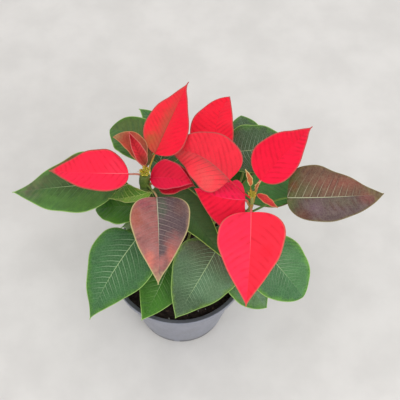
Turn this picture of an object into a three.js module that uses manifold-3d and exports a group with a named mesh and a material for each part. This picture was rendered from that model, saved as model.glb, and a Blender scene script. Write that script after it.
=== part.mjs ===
// A pot-grown poinsettia: two flowering heads on one forked stem, in a 13 cm nursery pot.
// Millimetres, +Z up. The origin is the middle of the pot's underside, and -Y is the front.
import * as THREE from 'three';
import { mergeVertices } from 'three/addons/utils/BufferGeometryUtils.js';
import Module from 'manifold-3d';

const wasm = await Module();
wasm.setup();

// ---------------------------------------------------------------- driving dimensions
const CLEARANCE = 0.3; // air between neighbouring pieces

const POT_HEIGHT = 97;
const POT_RIM_RADIUS = 65;
const POT_FOOT_RADIUS = 44;
const POT_WALL = 1.5;
const POT_FLOOR = 2.2;
const LIP_WIDTH = 2.6;
const LIP_DEPTH = 9;
const POT_SIDES = 40;
const DRAIN_HOLES = 6;
const DRAIN_HOLE_RADIUS = 4;
const DRAIN_RING_RADIUS = 33;
const DRAIN_TURN = -5.5; // degrees that the ring of holes and notches is turned
const FOOT_NOTCH = [20, 6, 1.4]; // along the radius, across it, deep

const SOIL_TOP = 85; // at the wall
const SOIL_CROWN = 3; // how far the middle stands above the wall
const SOIL_CLOD = 1.1; // height of the clods
const SOIL_SIDES = 30;

const STEM_FOOT = 45; // lower end of the stem, inside the root ball
const STEM_SIDES = 8;
const STEMS = {
  trunk: {
    radius: [4.6, 4.0],
    points: [[0, 0, STEM_FOOT], [1, 1, 85], [0, 4, 116]],
  },
  left: {
    radius: [4.1, 4.1],
    points: [[0, 4, 110], [-14, 10, 145], [-25, 17, 180], [-28, 20, 201], [-26.5, 20.5, 214]],
  },
  right: {
    radius: [3.9, 1.2],
    points: [[0, 4, 108], [24, 2, 142], [53, -3, 182], [62, -4.5, 204], [62, -2.5, 216]],
  },
};

const HEAD_SIZE = { left: 0.8, right: 0.55 }; // of each head's flowers against the sizes below
const HEAD_RADIUS = 3.4;
const BUD_COUNT = 11;
const BUD_RADIUS = 1.7;
const BUD_HEIGHT = 5.5;

const BLADE_THICKNESS = 0.8;
const BLADE_ROWS = 10;
const BLADE_COLUMNS = 4;
const STALK_SIDES = 6;
const STALK_STEPS = 5;
const EDGE_WAVES = 3.5; // shallow lobes along one edge of a blade
const EDGE_WAVE_DEPTH = 0.012; // as a share of the half width
const RIPPLES = 3; // times that one edge rises and falls
const NARROWEST = 0.45; // half width left at the ends of a blade

// Each blade: the stem that carries it and the height where its stalk leaves, the two ends of the
// blade, its half width, and how it is shaped. widest: where along the blade it is widest. lean: how
// much nearer the base that is on the right half. point: how drawn out the tip is. skew: extra width
// of the right half. roll: degrees that the right edge hangs. arch and bend: bow of the midrib,
// upward and to the right. fold: degrees that the halves rise from the midrib. ripple: height of the
// edge's waves. stalk: radius.
const BLADES = [
  // bracts of the left head
  { name: 'bract_left_rear', colour: 'red', stem: 'left', leaves: 209, base: [-19, 40, 216],
    tip: [9, 120, 214], half: 19.6, widest: 0.24, lean: 0.03, point: 2.2, skew: 0.04, roll: 14, arch: 8,
    ripple: 1.2, stalk: 0.9 },
  { name: 'bract_left_outer', colour: 'red', stem: 'left', leaves: 211, base: [-41, 24.5, 209],
    tip: [-111.5, 36, 196], half: 19.8, widest: 0.29, lean: -0.03, point: 1.8, skew: 0.1, roll: -10,
    arch: 8, bend: -4.3, ripple: 0.8, stalk: 0.9 },
  { name: 'bract_left_inner', colour: 'crimson', stem: 'left', leaves: 205, base: [-22.6, 21, 207],
    tip: [13, 18, 203], half: 14, widest: 0.34, point: 1.75, skew: -0.14, roll: 8, arch: 5, bend: -0.6 },
  { name: 'bract_left_inner_low', colour: 'crimson', stem: 'left', leaves: 197, base: [-16, 24.5, 200],
    tip: [15, 20.5, 195], half: 17.3, widest: 0.33, lean: 0.04, point: 1.85, skew: 0.07, roll: -5,
    arch: 4 },
  { name: 'bract_left_front', colour: 'turning', stem: 'left', leaves: 203, base: [-17, 6.5, 200],
    tip: [-16, -55.5, 160], half: 25.6, widest: 0.22, lean: -0.02, point: 1.6, skew: -0.06, roll: -9,
    arch: 10, ripple: 1.5, stalk: 0.9 },
  // bracts of the right head
  { name: 'bract_right_rear', colour: 'red', stem: 'right', leaves: 191, base: [41, 35, 194],
    tip: [47, 121, 192], half: 19.7, widest: 0.45, point: 1.6, skew: -0.16, roll: -8, arch: 6, bend: -10,
    ripple: 1.5 },
  { name: 'bract_right_inner', colour: 'coral', stem: 'right', leaves: 213, base: [44, 16, 212],
    tip: [-7, 54.5, 199], half: 24, widest: 0.22, lean: -0.03, point: 1.15, skew: 0.08, roll: -28,
    arch: 8, bend: 7, ripple: 1, stalk: 0.7 },
  { name: 'bract_right_outer', colour: 'red', stem: 'right', leaves: 209, base: [70, 14.5, 214],
    tip: [118.5, 76, 206], half: 19.5, widest: 0.25, point: 2.05, skew: -0.13, roll: 15, arch: 8,
    bend: -0.5, ripple: 1.2 },
  { name: 'bract_right_front', colour: 'red', stem: 'right', leaves: 206, base: [61, -16, 213],
    tip: [56.5, -83.5, 178], half: 27.6, widest: 0.26, lean: -0.02, point: 1.7, skew: -0.02, roll: 2,
    arch: 10, bend: -1, ripple: 1.2 },
  { name: 'bract_right_folded', colour: 'crimson', stem: 'right', leaves: 203, base: [57, 0, 206.5],
    tip: [14.5, 15, 200], half: 28.8, widest: 0.18, lean: -0.05, point: 1.3, skew: -0.02, roll: -7,
    arch: 2, bend: -3.5, fold: -28 },
  { name: 'bract_right_side', colour: 'turning', stem: 'right', leaves: 190, base: [93.5, 8.5, 196],
    tip: [177, 15, 192], half: 25.3, widest: 0.27, lean: -0.06, point: 1.45, skew: -0.11, roll: 16,
    arch: 8, bend: 3.3, ripple: 1.5, stalk: 1 },
  // young bracts round the flowers
  { name: 'young_bract_left_wide', colour: 'turning', stem: 'left', leaves: 210, base: [-27.8, 26, 217],
    tip: [-53.2, 46.5, 231], half: 9.2, widest: 0.48, lean: -0.05, point: 1.9, skew: 0.5, arch: 2,
    bend: 3, fold: 16, stalk: 0.6 },
  { name: 'young_bract_left_folded', colour: 'crimson', stem: 'left', leaves: 213, base: [-26, 25, 222],
    tip: [-39, 43, 243], half: 6.5, widest: 0.38, point: 1.7, arch: 3, bend: -2, fold: 40, stalk: 0.6 },
  { name: 'young_bract_left_dark', colour: 'turning', stem: 'left', leaves: 207,
    base: [-25.5, 31.5, 209.5], tip: [-43, 59, 221.5], half: 9, widest: 0.41, point: 1.5, skew: 0.2,
    arch: 2, fold: 12, stalk: 0.6 },
  { name: 'young_bract_right_upright', colour: 'turning', stem: 'right', leaves: 215, base: [61, 4, 222],
    tip: [56, 11, 236], half: 2.8, point: 1.7, arch: 1, fold: 25, stalk: 0.5 },
  { name: 'young_bract_right_small', colour: 'turning', stem: 'right', leaves: 215, base: [65, 1, 221],
    tip: [69, 3, 231], half: 1.8, point: 1.6, arch: 1, fold: 30, stalk: 0.5 },
  { name: 'young_bract_right_low', colour: 'crimson', stem: 'right', leaves: 211, base: [66.5, 0.5, 214],
    tip: [83.5, -8.5, 208], half: 3.7, widest: 0.38, lean: -0.05, point: 1.5, arch: 2, bend: 1, fold: 15,
    stalk: 0.6 },
  // green leaves, from the left round the front to the right
  { name: 'leaf_far_left', colour: 'green', stem: 'left', leaves: 160, base: [-53.5, 39.5, 172],
    tip: [-150.5, 36.5, 160], half: 30.4, widest: 0.31, lean: 0.05, point: 1.95, skew: 0.04, roll: -5,
    arch: 8, bend: -3.7, ripple: 1.5 },
  { name: 'leaf_left_upper', colour: 'green', stem: 'left', leaves: 194, base: [-22.5, 12.2, 199],
    tip: [-60.1, 16.5, 182], half: 11, widest: 0.38, lean: -0.17, point: 2.6, skew: 0.18, roll: 7,
    arch: 3, bend: -5, stalk: 0.9 },
  { name: 'leaf_left_lower', colour: 'green', stem: 'left', leaves: 163, base: [-30, 14.5, 171],
    tip: [-74, 18.5, 159], half: 20, widest: 0.39, point: 1.6, arch: 5, bend: -1, ripple: 1 },
  { name: 'leaf_left_low', colour: 'green', stem: 'left', leaves: 148, base: [-42, 34, 151],
    tip: [-96, 48, 135], half: 18, widest: 0.35, point: 1.6, arch: 6, ripple: 1 },
  { name: 'leaf_left_small', colour: 'green', stem: 'left', leaves: 136, base: [-28.5, 3.5, 141],
    tip: [-54, 18, 127], half: 14.6, widest: 0.31, point: 1.8, roll: 9, arch: 4, bend: 5.5 },
  { name: 'leaf_front_left', colour: 'green', stem: 'left', leaves: 128, base: [-36, -4.5, 150],
    tip: [-81, -60, 96], half: 30.3, widest: 0.23, point: 1.7, skew: -0.05, roll: -9, arch: 10, bend: 1.2,
    ripple: 1.5 },
  { name: 'leaf_front_middle', colour: 'green', stem: 'trunk', leaves: 106, base: [-5, -11, 134],
    tip: [-33, -65, 106], half: 22, widest: 0.33, point: 1.7, roll: -5, arch: 5, bend: -3, ripple: 1 },
  { name: 'leaf_front_centre', colour: 'green', stem: 'right', leaves: 140, base: [33.5, -19, 152],
    tip: [-2.5, -65.5, 112], half: 30.5, widest: 0.21, point: 1.4, skew: 0.02, roll: -31, arch: 9,
    bend: 2, ripple: 1.2 },
  { name: 'leaf_middle', colour: 'green', stem: 'left', leaves: 158, base: [-17, 33.5, 178],
    tip: [42, -33, 158], half: 18, widest: 0.28, lean: 0.03, point: 1.65, skew: 0.02, roll: -11, arch: 6,
    ripple: 0.5 },
  { name: 'leaf_front_right_low', colour: 'green', stem: 'right', leaves: 126, base: [51, -12, 138],
    tip: [80, -52, 104], half: 23, widest: 0.38, point: 1.6, roll: -4, arch: 6, bend: 6, ripple: 1 },
  { name: 'leaf_front_right', colour: 'green', stem: 'right', leaves: 166, base: [65, -21.5, 176],
    tip: [109, -56, 136], half: 26.3, widest: 0.39, point: 1.25, skew: 0.05, roll: 18, arch: 10,
    ripple: 1.5 },
  { name: 'leaf_right_upper', colour: 'green', stem: 'right', leaves: 176, base: [51.5, 21.5, 178],
    tip: [125, 40, 175], half: 21.5, widest: 0.43, point: 1.75, skew: 0.3, roll: -4, arch: 4, bend: -3 },
  // green leaves at the back
  { name: 'leaf_rear_left_round', colour: 'green', stem: 'left', leaves: 168, base: [-31, 58, 178],
    tip: [-64.5, 97.5, 172], half: 21, widest: 0.46, point: 1.3, skew: 0.04, roll: -6, arch: 5, bend: 8,
    ripple: 1 },
  { name: 'leaf_rear_left_tall', colour: 'green', stem: 'left', leaves: 154, base: [-17, 61, 168],
    tip: [-39, 127, 166], half: 20, widest: 0.33, point: 1.6, skew: 0.11, roll: 9, arch: 4, bend: 9 },
  { name: 'leaf_rear_centre', colour: 'green', stem: 'trunk', leaves: 98, base: [18, 50, 130],
    tip: [30, 124, 108], half: 22, widest: 0.33, point: 1.6, arch: 9, ripple: 1.5 },
  { name: 'leaf_rear_left_low', colour: 'green', stem: 'left', leaves: 122, base: [-6, 50, 138],
    tip: [-18, 120, 115], half: 18, widest: 0.35, point: 1.6, arch: 7, ripple: 1 },
  { name: 'leaf_rear_right_low', colour: 'green', stem: 'right', leaves: 130, base: [55, 40, 145],
    tip: [92, 112, 126], half: 22, widest: 0.33, point: 1.6, arch: 6, ripple: 1 },
  { name: 'leaf_rear_right_tall', colour: 'green', stem: 'right', leaves: 148, base: [59.5, 61, 160],
    tip: [59, 125, 158], half: 21.3, widest: 0.37, point: 1.35, arch: 4, bend: 2, ripple: 1 },
  { name: 'leaf_rear_right_wide', colour: 'green', stem: 'right', leaves: 138, base: [42, 72.5, 170],
    tip: [113.5, 83, 164], half: 25.5, widest: 0.33, point: 1.4, roll: 7, arch: 5, bend: 1.3,
    ripple: 1.2 },
];

const COLOURS = {
  red: 0xe8243a,
  crimson: 0xc01838,
  coral: 0xea4048,
  turning: 0x7a4a48,
  green: 0x2f6b38,
};

// ---------------------------------------------------------------- solids
function vec(point) {
  return new THREE.Vector3(...point);
}

function bareGeometry(geometry) {
  geometry.deleteAttribute('normal');
  geometry.deleteAttribute('uv');
  return mergeVertices(geometry, 1e-4);
}

function toSolid(geometry) {
  const bare = bareGeometry(geometry);
  return new wasm.Manifold(new wasm.Mesh({
    numProp: 3,
    vertProperties: new Float32Array(bare.attributes.position.array),
    triVerts: new Uint32Array(bare.index.array),
  }));
}

function toGeometry(solid) {
  const mesh = solid.getMesh();
  const geometry = new THREE.BufferGeometry();
  geometry.setAttribute('position', new THREE.Float32BufferAttribute(mesh.vertProperties, 3));
  geometry.setIndex(Array.from(mesh.triVerts));
  return geometry;
}

function indexedGeometry(points, faces) {
  const geometry = new THREE.BufferGeometry();
  const numbers = points.flatMap((point) => point.toArray());
  geometry.setAttribute('position', new THREE.Float32BufferAttribute(numbers, 3));
  geometry.setIndex(faces);
  return geometry;
}

// A round tube along a curve, with flat ends and a radius that changes evenly from one to the other.
function taperedTube(curve, startRadius, endRadius, steps, sides) {
  const frames = curve.computeFrenetFrames(steps, false);
  const points = [];
  const faces = [];
  for (let i = 0; i <= steps; i += 1) {
    const centre = curve.getPointAt(i / steps);
    const radius = THREE.MathUtils.lerp(startRadius, endRadius, i / steps);
    for (let j = 0; j < sides; j += 1) {
      const angle = (2 * Math.PI * j) / sides;
      points.push(centre.clone()
        .addScaledVector(frames.normals[i], radius * Math.cos(angle))
        .addScaledVector(frames.binormals[i], radius * Math.sin(angle)));
    }
  }
  for (let i = 0; i < steps; i += 1) {
    for (let j = 0; j < sides; j += 1) {
      const a = i * sides + j;
      const b = i * sides + ((j + 1) % sides);
      faces.push(a, b, b + sides, a, b + sides, a + sides);
    }
  }
  for (let j = 1; j < sides - 1; j += 1) {
    const last = steps * sides;
    faces.push(0, j + 1, j, last, last + j, last + j + 1);
  }
  return indexedGeometry(points, faces);
}

// ---------------------------------------------------------------- pot and soil
// A profile of [radius, height] pairs turned round the Z axis.
function latheGeometry(profile, sides) {
  const outline = profile.map(([radius, height]) => new THREE.Vector2(radius, height));
  return new THREE.LatheGeometry(outline, sides).rotateX(Math.PI / 2);
}

function wallRadius(height) {
  return THREE.MathUtils.lerp(POT_FOOT_RADIUS, POT_RIM_RADIUS - LIP_WIDTH, height / POT_HEIGHT);
}

function potSolid() {
  const lipFoot = POT_HEIGHT - LIP_DEPTH;
  let pot = toSolid(latheGeometry([
    [0, 0],
    [POT_FOOT_RADIUS - 1, 0],
    [POT_FOOT_RADIUS, 1],
    [wallRadius(lipFoot), lipFoot],
    [POT_RIM_RADIUS - 0.8, lipFoot + 1.2],
    [POT_RIM_RADIUS, POT_HEIGHT - 1.2],
    [POT_RIM_RADIUS, POT_HEIGHT],
    [wallRadius(POT_HEIGHT) - POT_WALL, POT_HEIGHT],
    [wallRadius(POT_FLOOR) - POT_WALL, POT_FLOOR],
    [0, POT_FLOOR],
  ], POT_SIDES));
  for (let i = 0; i < DRAIN_HOLES; i += 1) {
    const angle = ((i + 0.5) * 2 * Math.PI) / DRAIN_HOLES + THREE.MathUtils.degToRad(DRAIN_TURN);
    const hole = new THREE.CylinderGeometry(DRAIN_HOLE_RADIUS, DRAIN_HOLE_RADIUS, 4 * POT_FLOOR, 12);
    hole.rotateX(Math.PI / 2).translate(DRAIN_RING_RADIUS, 0, 0).rotateZ(angle);
    const notch = new THREE.BoxGeometry(FOOT_NOTCH[0], FOOT_NOTCH[1], 2 * FOOT_NOTCH[2]);
    notch.translate(POT_FOOT_RADIUS, 0, 0).rotateZ(angle);
    pot = pot.subtract(toSolid(hole)).subtract(toSolid(notch));
  }
  return pot;
}

// Clods of peat: a few crossed waves, flat at the wall and round the stem.
function clodHeight(x, y) {
  const waves = Math.sin(0.31 * x + 0.7) * Math.cos(0.27 * y) + 0.7 * Math.sin(0.53 * y + 0.22 * x + 2);
  return SOIL_CLOD * waves;
}

function soilSolid() {
  const bottom = POT_FLOOR + CLEARANCE;
  const inner = (height) => wallRadius(height) - POT_WALL - 2 * CLEARANCE;
  const rings = [52, 42, 31, 20, 10];
  const top = rings.map((radius) => [radius, SOIL_TOP + SOIL_CROWN * (1 - radius / inner(SOIL_TOP))]);
  const geometry = latheGeometry([
    [0, bottom],
    [inner(bottom), bottom],
    [inner(SOIL_TOP), SOIL_TOP],
    ...top,
    [0, SOIL_TOP + SOIL_CROWN],
  ], SOIL_SIDES);
  const position = geometry.attributes.position;
  for (let i = 0; i < position.count; i += 1) {
    const x = position.getX(i);
    const y = position.getY(i);
    if (position.getZ(i) > SOIL_TOP + 0.1) {
      position.setZ(i, position.getZ(i) + clodHeight(x, y));
    }
  }
  const socket = stemTube(STEMS.trunk, 2 * CLEARANCE);
  return toSolid(geometry).subtract(socket);
}

// ---------------------------------------------------------------- stem
function stemCurve(stem) {
  return new THREE.CatmullRomCurve3(stem.points.map(vec));
}

// The tube of one stem. A margin makes it longer and fatter, as the hole that it stands in.
function stemTube(stem, margin = 0) {
  const points = stem.points.map(vec);
  points[0].z -= margin;
  const curve = new THREE.CatmullRomCurve3(points);
  const [start, end] = stem.radius.map((radius) => radius + margin);
  return toSolid(taperedTube(curve, start, end, 10, STEM_SIDES));
}

function stemSolid() {
  return stemTube(STEMS.trunk).add(stemTube(STEMS.left)).add(stemTube(STEMS.right));
}

// A stem's centre line at a height: the point, the direction and the stem's radius there.
function stemAt(stem, height) {
  const curve = stemCurve(stem);
  let low = 0;
  let high = 1;
  for (let i = 0; i < 30; i += 1) {
    const middle = (low + high) / 2;
    if (curve.getPointAt(middle).z < height) low = middle;
    else high = middle;
  }
  const radius = THREE.MathUtils.lerp(...stem.radius, low);
  return { axis: curve.getPointAt(low), tangent: curve.getTangentAt(low), radius };
}

// ---------------------------------------------------------------- flowers
// The cyathia of one head: green buds round a small dome, the outer ones leaning out.
function cyathiaSolid(side) {
  const top = vec(STEMS[side].points.at(-1));
  let head = toSolid(domeGeometry());
  for (let i = 0; i < BUD_COUNT; i += 1) {
    const outer = i > 2;
    const angle = i * 2.4;
    const reach = outer ? 3.2 : 1.3;
    const bud = new THREE.SphereGeometry(BUD_RADIUS, 6, 4);
    bud.scale(1, 1, BUD_HEIGHT / 2 / BUD_RADIUS);
    bud.rotateY(outer ? 0.45 : 0.15);
    bud.translate(reach, 0, HEAD_RADIUS + (outer ? 0.2 : 1.4));
    bud.rotateZ(angle);
    head = head.add(toSolid(bud));
  }
  return head.scale(HEAD_SIZE[side]).translate([top.x, top.y, top.z + 2 * CLEARANCE]);
}

// The disc that the buds stand on, with a core that fills the space between them.
function domeGeometry() {
  return latheGeometry([
    [0, 0],
    [HEAD_RADIUS * 0.9, 0],
    [HEAD_RADIUS, 1.2],
    [HEAD_RADIUS * 0.8, 4.5],
    [0, 6.5],
  ], 10);
}

// ---------------------------------------------------------------- blades
function smoothShare(t, widest, point) {
  const rise = point * widest;
  const fall = point * (1 - widest);
  return (t / widest) ** rise * ((1 - t) / (1 - widest)) ** fall;
}

// The middle surface of a blade: t runs from the base to the tip, s from the left edge to the right.
function bladePoint(blade, t, s) {
  const { widest = 0.36, lean = 0, point = 1.6, skew = 0, roll = 0 } = blade;
  const { arch = 0, bend = 0, fold = 8, ripple = 0.6 } = blade;
  const base = vec(blade.base);
  const span = vec(blade.tip).sub(base);
  const along = span.clone().normalize();
  const level = new THREE.Vector3(0, 0, 1).addScaledVector(along, -along.z).normalize();
  const up = level.clone().applyAxisAngle(along, THREE.MathUtils.degToRad(roll));
  const side = along.clone().cross(up);
  const bow = 4 * t * (1 - t);
  const bowSlope = 4 * (1 - 2 * t);
  const centre = base.addScaledVector(span, t)
    .addScaledVector(up, arch * bow)
    .addScaledVector(side, bend * bow);
  const tangent = span.clone()
    .addScaledVector(up, arch * bowSlope)
    .addScaledVector(side, bend * bowSlope)
    .normalize();
  const out = up.clone().addScaledVector(tangent, -up.dot(tangent)).normalize();
  const right = tangent.clone().cross(out);
  const hand = Math.sign(s);
  const reach = Math.abs(s);
  const phase = blade.base[0] * 0.7 + hand;
  const inside = Math.min(Math.max(t, 0.004), 0.996);
  const fade = Math.sin(Math.PI * t);
  const lobe = 1 + EDGE_WAVE_DEPTH * Math.sin(2 * Math.PI * EDGE_WAVES * t + phase) * fade;
  const share = smoothShare(inside, widest - lean * hand, point);
  const half = blade.half * share * (1 + skew * hand) * lobe;
  const width = Math.max(half, NARROWEST);
  const lift = THREE.MathUtils.degToRad(fold);
  const wave = ripple * Math.sin(2 * Math.PI * RIPPLES * t + phase) * reach ** 2 * fade;
  return centre
    .addScaledVector(right, s * width * Math.cos(lift))
    .addScaledVector(out, reach * width * Math.sin(lift) + wave);
}

function bladeNormal(blade, t, s) {
  const inside = Math.min(Math.max(t, 0.05), 0.93);
  const across = bladePoint(blade, inside, Math.min(s + 0.1, 1))
    .sub(bladePoint(blade, inside, Math.max(s - 0.1, -1)));
  const along = bladePoint(blade, inside + 0.02, s * 0.9).sub(bladePoint(blade, inside - 0.02, s * 0.9));
  return across.cross(along).normalize();
}

function bladeGeometry(blade) {
  const rows = blade.half < 10 ? 6 : BLADE_ROWS;
  const columns = blade.half < 5 ? 2 : BLADE_COLUMNS;
  const points = [];
  for (const face of [0.5, -0.5]) {
    for (let i = 0; i <= rows; i += 1) {
      for (let j = 0; j <= columns; j += 1) {
        const s = (2 * j) / columns - 1;
        const normal = bladeNormal(blade, i / rows, s);
        points.push(bladePoint(blade, i / rows, s).addScaledVector(normal, face * BLADE_THICKNESS));
      }
    }
  }
  const width = columns + 1;
  const under = width * (rows + 1);
  const below = ([a, b, c]) => [under + a, under + c, under + b];
  const faces = [];
  for (let i = 0; i < rows; i += 1) {
    for (let j = 0; j < columns; j += 1) {
      const a = i * width + j;
      const [b, c, d] = [a + 1, a + width + 1, a + width];
      const [first, second] = j < columns / 2 ? [[a, b, d], [b, c, d]] : [[a, b, c], [a, c, d]];
      faces.push(...first, ...second);
      faces.push(...below(first), ...below(second));
    }
  }
  const wall = (a, b) => faces.push(a, under + a, under + b, a, under + b, b);
  for (let i = 0; i < rows; i += 1) {
    wall((i + 1) * width, i * width);
    wall(i * width + columns, (i + 1) * width + columns);
  }
  for (let j = 0; j < columns; j += 1) {
    wall(j, j + 1);
    wall(rows * width + j + 1, rows * width + j);
  }
  return indexedGeometry(points, faces);
}

// The stalk: from just off the stem, bowed, into the underside of the midrib.
function stalkGeometry(blade) {
  const { stalk = 1.2 } = blade;
  const { axis, tangent, radius } = stemAt(STEMS[blade.stem], blade.leaves);
  const base = vec(blade.base);
  const away = base.clone().sub(axis);
  const outward = away.clone().addScaledVector(tangent, -away.dot(tangent)).normalize();
  const start = axis.clone().addScaledVector(outward, radius + CLEARANCE);
  const length = start.distanceTo(base);
  const inner = bladePoint(blade, 0.14, 0).addScaledVector(bladeNormal(blade, 0.14, 0), -0.5);
  const aim = bladePoint(blade, 0.06, 0).sub(base).normalize();
  const curve = new THREE.CubicBezierCurve3(
    start,
    start.clone().addScaledVector(outward, length * 0.35),
    base.clone().addScaledVector(aim, -length * 0.3),
    inner,
  );
  return taperedTube(curve, stalk, stalk * 0.8, STALK_STEPS, STALK_SIDES);
}

function bladeSolid(blade) {
  return toSolid(bladeGeometry(blade)).add(toSolid(stalkGeometry(blade)));
}

// ---------------------------------------------------------------- assembly
const plant = new THREE.Group();

function addPiece(name, solid, colour, roughness) {
  const material = new THREE.MeshStandardMaterial({ color: colour, roughness, metalness: 0 });
  const mesh = new THREE.Mesh(toGeometry(solid), material);
  mesh.name = name;
  plant.add(mesh);
}

addPiece('pot', potSolid(), 0x3a3c40, 0.45);
addPiece('soil', soilSolid(), 0x231a14, 0.95);
addPiece('stem', stemSolid(), 0x4f7038, 0.6);
addPiece('cyathia_left', cyathiaSolid('left'), 0xa8b03c, 0.5);
addPiece('cyathia_right', cyathiaSolid('right'), 0xa8b03c, 0.5);
for (const blade of BLADES) {
  addPiece(blade.name, bladeSolid(blade), COLOURS[blade.colour], 0.5);
}

export default plant;
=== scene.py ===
"""The looks of a pot-grown poinsettia: two flowering heads on one forked stem, in a 13 cm pot.

Lengths are millimetres in the frame of the solids, with +Z up and -Y to the front. MM turns them
into the scene's metres. Each blade follows the same surface as its solid, on a finer grid, and adds
the quilting between its veins, a midrib and a smooth stalk.
"""
import math
from types import SimpleNamespace

import bpy
import numpy as np
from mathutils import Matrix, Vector, noise


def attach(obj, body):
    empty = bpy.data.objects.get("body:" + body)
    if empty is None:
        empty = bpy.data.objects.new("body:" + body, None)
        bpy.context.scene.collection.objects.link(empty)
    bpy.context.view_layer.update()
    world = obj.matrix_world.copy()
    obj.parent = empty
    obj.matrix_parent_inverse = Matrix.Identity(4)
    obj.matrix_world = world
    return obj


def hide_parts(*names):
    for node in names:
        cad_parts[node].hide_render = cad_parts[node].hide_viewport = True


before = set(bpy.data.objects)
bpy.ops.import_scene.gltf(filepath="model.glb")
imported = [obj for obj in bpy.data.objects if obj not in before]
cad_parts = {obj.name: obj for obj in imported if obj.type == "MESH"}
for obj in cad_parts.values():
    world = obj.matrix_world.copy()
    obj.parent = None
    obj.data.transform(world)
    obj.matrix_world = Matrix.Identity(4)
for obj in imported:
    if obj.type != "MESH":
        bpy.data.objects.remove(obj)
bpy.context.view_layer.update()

MM = 0.001
SQUARE = ((-1, -1), (1, -1), (1, 1), (-1, 1))

# ---------------- sizes
POT_HEIGHT = 97
POT_RIM_RADIUS = 65
POT_FOOT_RADIUS = 44
POT_WALL = 1.5
POT_FLOOR = 2.2
LIP_WIDTH = 2.6
LIP_DEPTH = 9
LIP_SLOPE = 1.2  # rise of the lip's underside on its way out
OUTER_ROUNDING = 0.9
INNER_ROUNDING = 0.7
POT_SIDES = 160
DRAIN_HOLES = 6
DRAIN_HOLE_RADIUS = 4
DRAIN_RING_RADIUS = 33
FOOT_NOTCH = (20, 6, 1.4)  # along the radius, across it, deep
DRAIN_TURN = -5.5  # degrees that the ring of holes and notches is turned
FOOT_SHADOW = (9, 6)  # heights between which the painted shadow of the foot sets in
PINHOLE = 0.02  # radius of the innermost ring of a turned piece

WALL_AIR = 0.6  # between the root ball and the pot's wall
FLOOR_AIR = 0.3
SOIL_TOP = 85
SOIL_CROWN = 3
SOIL_CLOD = 1.1
CLOD_FADE = 4  # the clods die away over this width by the wall
CRUMBS = ((1.5, 4.5, 3), (0.9, 1.7, 9))  # height, width and layer of the noise
GRAINS = (0.8, 1.9)  # height and width
SOIL_SIDES = 260
SOIL_RINGS = 90
# grains in the peat: how many, their width, their length and height against it
PERLITE = SimpleNamespace(count=45, width=(0.4, 1.0), long=(0.9, 1.3), high=0.9)
BARK = SimpleNamespace(count=80, width=(0.5, 1.1), long=(1.8, 4), high=0.5)
PEBBLE_ROWS = 6
PEBBLE_SIDES = 10

STEM_SIDES = 28
STEM_STEPS = 120
STEM_VOXEL = 0.55
STEM_EASE = (0.6, 6)  # strength and rounds of the smoothing that follows
JOINT = (0.1, 2.2, 1.5)  # swelling of the stem by a stalk: share, length, how far below the stalk
STEMS = {
    "trunk": dict(radius=(4.6, 4.0), points=[(0, 0, 45), (1, 1, 85), (0, 4, 116)]),
    "left": dict(
        radius=(4.1, 4.1),
        points=[(0, 4, 110), (-14, 10, 145), (-25, 17, 180), (-28, 20, 201), (-26.5, 20.5, 214)],
    ),
    "right": dict(
        radius=(3.9, 1.2),
        points=[(0, 4, 108), (24, 2, 142), (53, -3, 182), (62, -4.5, 204), (62, -2.5, 216)],
    ),
}

HEADS = {"left": 0.8, "right": 0.55}  # size of each head's flowers against the sizes below
HEAD_AIR = 0.6  # between the end of the branch and the flowers
HEAD_RADIUS = 3.4
DOME = [(0.05, 0), (HEAD_RADIUS * 0.9, 0), (HEAD_RADIUS, 1.2), (HEAD_RADIUS * 0.85, 2.8),
        (HEAD_RADIUS * 0.5, 4.2), (0.05, 4.8)]
CUP = [(0.05, -0.5), (0.55, -0.46), (0.85, -0.2), (1.0, 0.1), (0.93, 0.32), (0.72, 0.46),
       (0.6, 0.5), (0.5, 0.44), (0.4, 0.2), (0.05, 0.1)]
CUP_COUNT = 11
INNER_CUPS = 3
CUP_TURN = 2.4  # radians from one cup to the next
CUP_RADIUS = 1.7
CUP_HEIGHT = 5.5
CUP_SIZES = (0.88, 1.06)
FRINGE = (5, 0.12)  # scallops round a cup's mouth, and their depth
INNER_CUP = dict(lean=0.15, reach=1.3, lift=HEAD_RADIUS + 1.4)  # how it stands: see leaned
OUTER_CUP = dict(lean=0.45, reach=3.2, lift=HEAD_RADIUS + 0.2)
GLAND_STEPS = 14
GLAND_RADIUS = 0.42
GLAND_ARC = (1.6337, 1.05, 0.35)  # the curve that it follows: out, across and up
GLAND_PLACE = (0.25, 0, 1.5)
GLAND_SPREAD = 1.15  # radians of the curve to each side
GLAND_TAPER = 0.35  # radians of the sine that thins its two ends
CUP_STAMENS = 4
STAMEN_RADIUS = 0.13
STAMEN_SPREAD = (0.1, 0.45)
STAMEN_TOPS = (3.0, 3.9)
ANTHER = (0.3, 0.22, 0.24)
FILAMENT_COUNT = 16
FILAMENT_STEPS = 9
FILAMENT_RADII = (0.34, 0.2)
FILAMENT_LENGTHS = (6, 9)
FILAMENT_LEANS = (0.2, 1.2)
FILAMENT_END = (0.4, 0.3, 0.34)

BLADE_THICKNESS = 0.5
BLADE_GRID = (84, 44)  # rows along the midrib, columns across
SMALL_BLADE_GRID = (48, 24)
SMALL_BLADE = 10  # half width up to which a blade has the small grid
EDGE_WAVES = 3.5
EDGE_WAVE_DEPTH = 0.012
RIPPLES = 3
NARROWEST = 0.45
VEIN_CURVE = 0.7  # how a side vein sweeps forward on its way out
QUILTING = 0.32  # rise of the blade between two side veins
LIMPNESS = 0.6  # height of the slow waves of the two halves
MIDRIB_GROOVE = 0.35
MIDRIB_WIDTH = 0.8
STALK_SIDES = 12
STALK_STEPS = 22
STALK_DEPTH = 0.8  # how far a stalk starts inside the stem's skin
STALK_FLARE = (0.45, 0.09)  # swelling of its foot: share, and reach along the stalk
MIDRIB_STEPS = 26

FLOOR_REACH = 4000


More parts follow.
